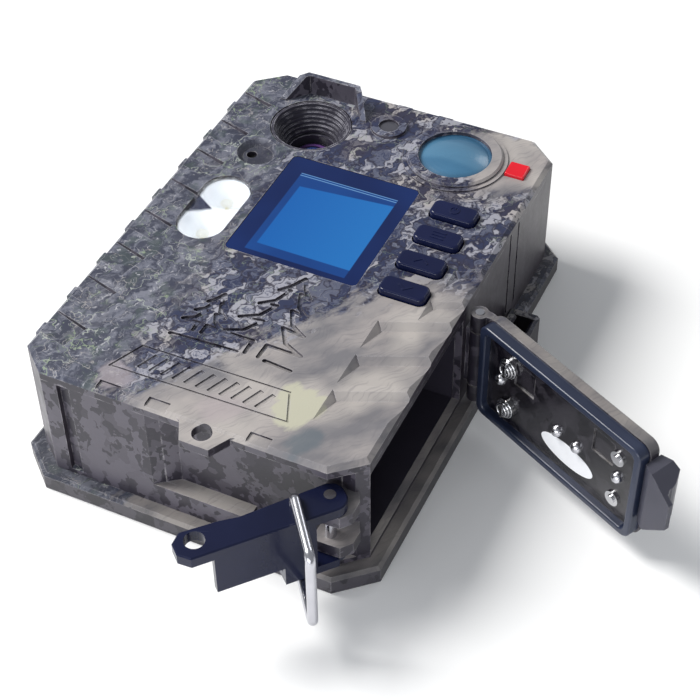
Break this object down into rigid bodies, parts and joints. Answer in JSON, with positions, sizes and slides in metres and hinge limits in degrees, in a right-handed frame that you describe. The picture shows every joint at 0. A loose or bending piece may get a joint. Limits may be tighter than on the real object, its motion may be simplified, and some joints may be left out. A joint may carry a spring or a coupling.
{
  "type": "trail camera",
  "caption": "Weatherproof trail camera with hooded lens, motion sensor, screen and side buttons; its hinged battery door is held shut by a padlockable wire-loop latch.",
  "frame": {"origin": "centre of the rear face, at the mouth of the tripod socket", "axes": "+Z out of the front face, +Y towards the lens end, +X to the right as the front is faced, where the battery door is; the camera lies on its back"},
  "size_m": [0.1731, 0.1747, 0.0484],
  "materials": {
    "camo_shell": "printed bark camouflage, low sheen",
    "camo_inner": "printed camouflage, glossier, darker towards the hinge",
    "black_plastic": "glossy blue-black moulding",
    "slate_plastic": "dark slate grey, satin",
    "hood_plastic": "dark brown, matt ridges",
    "seal_rubber": "smooth blue-black rubber",
    "lens_glass": "coated optical glass",
    "clear_cover": "clear polished plastic",
    "screen_cover": "dark navy glass with a black border",
    "screen_panel": "display, switched off, blue-black",
    "pir_film": "translucent blue-grey moulded lens",
    "white_reflector": "white reflector, glossy",
    "lamp_chip": "yellow phosphor",
    "red_window": "red tinted plastic",
    "steel_wire": "polished steel",
    "plated_contact": "nickel plate",
    "brass": "machined",
    "board": "green solder mask",
    "component_black": "moulded component",
    "label_paper": "blank gloss paper label"
  },
  "bodies": {
    "housing": {"front_face": "camo_shell", "case_walls": "camo_shell", "latch_frame": "camo_shell", "screw_posts": "camo_shell", "lens_visor": "camo_shell", "rear_shell": "camo_shell", "case_gasket": "seal_rubber", "case_screws": "steel_wire", "tripod_insert": "brass", "lens_hood": "hood_plastic", "lens_barrel": "hood_plastic", "lens_glass": "lens_glass", "sensor_board": "board", "pir_bezel": "camo_shell", "pir_lens": "pir_film", "pir_sensor": "steel_wire", "screen_window": "screen_cover", "display_module": "screen_panel", "lamp_reflector": "white_reflector", "lamp_chips": "lamp_chip", "lamp_window": "clear_cover", "light_sensor_window": "screen_cover", "status_window": "red_window", "microphone": "component_black", "main_board": "board", "key_switches": "component_black", "key_mat": "seal_rubber", "card_socket": "steel_wire", "power_jack": "component_black", "jack_plug": "seal_rubber", "battery_box": "slate_plastic", "cell_contacts": "plated_contact", "hinge_pin": "steel_wire", "latch_rivet": "steel_wire"},
    "door": {"door_shell": "camo_shell", "door_gasket": "seal_rubber", "door_panel": "camo_inner", "door_screws": "steel_wire", "door_springs": "plated_contact", "door_contacts": "plated_contact", "inspection_label": "label_paper", "door_tongue": "slate_plastic"},
    "lever": {"latch_lever": "black_plastic"},
    "bail": {"latch_bail": "steel_wire"},
    "power_key": {"power_button": "black_plastic"},
    "menu_key": {"menu_button": "black_plastic"},
    "up_key": {"up_button": "black_plastic"},
    "down_key": {"down_button": "black_plastic"}
  },
  "joints": [
    {"name": "door_hinge", "type": "hinge", "parent": "housing", "child": "door", "pos_m": [0.0513, -0.0008, 0.0228], "axis": [0, 0, 1], "range_deg": [-63, 35]},
    {"name": "lever_pivot", "type": "hinge", "parent": "housing", "child": "lever", "pos_m": [0.0413, -0.0706, 0.0246], "axis": [0, 0, 1], "range_deg": [-48.5, 40]},
    {"name": "bail_swing", "type": "hinge", "parent": "lever", "child": "bail", "pos_m": [0.03454, -0.07583, 0.0246], "axis": [0, 0, -1], "range_deg": [-92.08, 45]},
    {"name": "power_press", "type": "slide", "parent": "housing", "child": "power_key", "axis": [0, 0, -1], "range_m": [0, 0.0008], "stiffness_N_per_m": 1200, "springref_m": -0.0002},
    {"name": "menu_press", "type": "slide", "parent": "housing", "child": "menu_key", "axis": [0, 0, -1], "range_m": [0, 0.0008], "stiffness_N_per_m": 1200, "springref_m": -0.0002},
    {"name": "up_press", "type": "slide", "parent": "housing", "child": "up_key", "axis": [0, 0, -1], "range_m": [0, 0.0008], "stiffness_N_per_m": 1200, "springref_m": -0.0002},
    {"name": "down_press", "type": "slide", "parent": "housing", "child": "down_key", "axis": [0, 0, -1], "range_m": [0, 0.0008], "stiffness_N_per_m": 1200, "springref_m": -0.0002}
  ]
}
